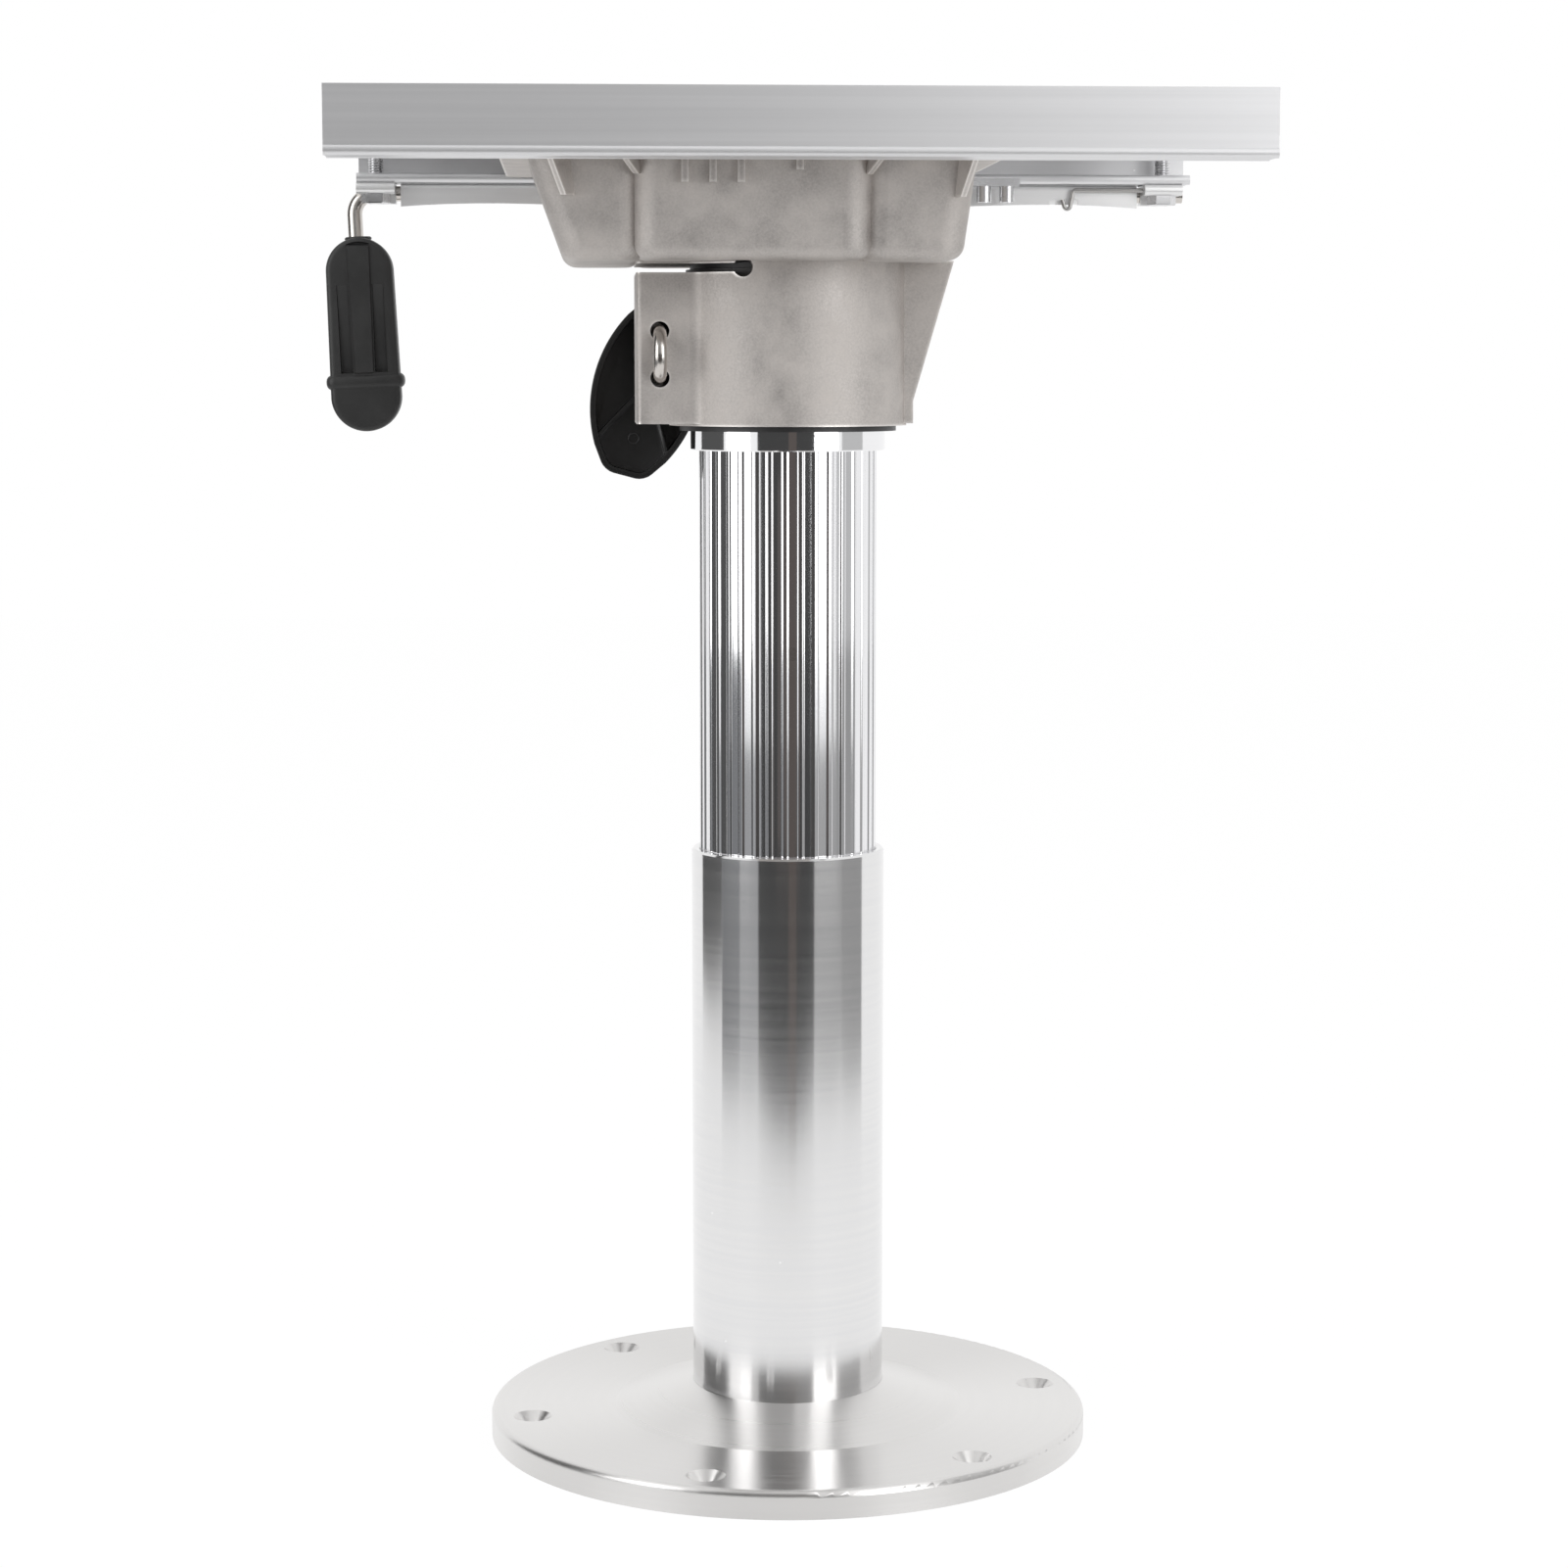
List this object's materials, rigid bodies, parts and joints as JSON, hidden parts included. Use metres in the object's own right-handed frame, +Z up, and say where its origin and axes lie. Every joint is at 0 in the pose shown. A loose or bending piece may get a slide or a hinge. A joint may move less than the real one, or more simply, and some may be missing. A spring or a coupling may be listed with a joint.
{
  "type": "boat seat pedestal",
  "caption": "Height-adjusting boat seat pedestal: round deck plate, telescopic ribbed post, clamping swivel bracket and lockable fore-and-aft seat slide with a hand lever.",
  "frame": {"origin": "centre of the deck plate's underside, on the post's axis", "axes": "+Z up along the post, X along the slide's rails with the front of the seat towards -X, +Y towards the side with the slide lever"},
  "size_m": [0.3443, 0.2286, 0.5044],
  "materials": {
    "polished_aluminium": "turned and polished, mirror-like",
    "brushed_tube": "brushed and clear anodised",
    "polished_tube": "bright dipped and polished",
    "machined_aluminium": "machined, satin",
    "satin_rail": "satin anodised extrusion",
    "cast_aluminium": "as cast, tumbled",
    "stainless_rod": "drawn stainless rod",
    "bright_steel": "ground bright",
    "zinc_steel": "zinc plated",
    "spring_steel": "spring steel wire",
    "painted_steel": "black enamel",
    "black_nylon": "moulded nylon",
    "black_plastic": "moulded, fine texture"
  },
  "bodies": {
    "base": {"base_plate": "polished_aluminium", "lower_tube": "brushed_tube", "gas_rod": "bright_steel", "gas_rod_nut": "zinc_steel"},
    "post": {"ribbed_tube": "polished_tube", "foot_bush": "black_nylon", "top_sleeve": "polished_tube", "post_cap": "black_nylon", "retaining_ring": "spring_steel", "cross_pins": "bright_steel", "mount_ring": "machined_aluminium", "gas_cylinder": "painted_steel"},
    "release": {"release_pin": "bright_steel"},
    "bracket": {"seat_bracket": "cast_aluminium", "swivel_bush": "black_nylon", "thrust_washer": "black_nylon", "glide_front_left": "black_nylon", "glide_front_right": "black_nylon", "glide_rear_left": "black_nylon", "glide_rear_right": "black_nylon", "glide_screws": "zinc_steel", "lock_comb": "zinc_steel", "comb_screws": "zinc_steel", "clamp_pad": "zinc_steel"},
    "clamp_rod": {"u_rod": "stainless_rod", "clamp_bar": "zinc_steel", "clamp_rod_nuts": "zinc_steel"},
    "clamp_handle": {"clamp_handle": "black_plastic", "clamp_screw": "zinc_steel"},
    "seat_frame": {"left_rail": "satin_rail", "right_rail": "satin_rail", "front_strap": "machined_aluminium", "rear_strap": "machined_aluminium", "strap_screws": "zinc_steel", "end_block_front": "machined_aluminium", "end_block_rear": "machined_aluminium", "end_bolts": "zinc_steel", "return_spring": "spring_steel"},
    "slide_lever": {"lock_rod": "stainless_rod", "lock_bar": "machined_aluminium", "lock_finger": "zinc_steel", "lever_grip": "black_plastic"}
  },
  "joints": [
    {"name": "height_slide", "type": "slide", "parent": "base", "child": "post", "axis": [0, 0, 1], "range_m": [-0.15, 0]},
    {"name": "release_press", "type": "slide", "parent": "post", "child": "release", "axis": [0, 0, 1], "range_m": [-0.0025, 0], "stiffness_N_per_m": 1500, "springref_m": 0.001},
    {"name": "swivel", "type": "hinge", "parent": "post", "child": "bracket", "pos_m": [0, 0, 0.42], "axis": [0, 0, 1], "continuous": true},
    {"name": "clamp_turn", "type": "hinge", "parent": "bracket", "child": "clamp_handle", "pos_m": [-0.0485, 0.045, 0.4127], "axis": [0, 1, 0], "range_deg": [0, 100]},
    {"name": "clamp_draw", "type": "slide", "parent": "bracket", "child": "clamp_rod", "axis": [0, 1, 0], "range_m": [-0.0005, 0]},
    {"name": "seat_slide", "type": "slide", "parent": "bracket", "child": "seat_frame", "axis": [1, 0, 0], "range_m": [-0.079, 0.05]},
    {"name": "lever_swing", "type": "hinge", "parent": "seat_frame", "child": "slide_lever", "pos_m": [0, 0.096, 0.4764], "axis": [1, 0, 0], "range_deg": [0, 25], "stiffness_Nm_per_rad": 0.6, "springref_deg": -8.59}
  ],
  "couplings": [
    {"joint": "clamp_draw", "follows": "clamp_turn", "m_per_rad": -0.000286}
  ]
}
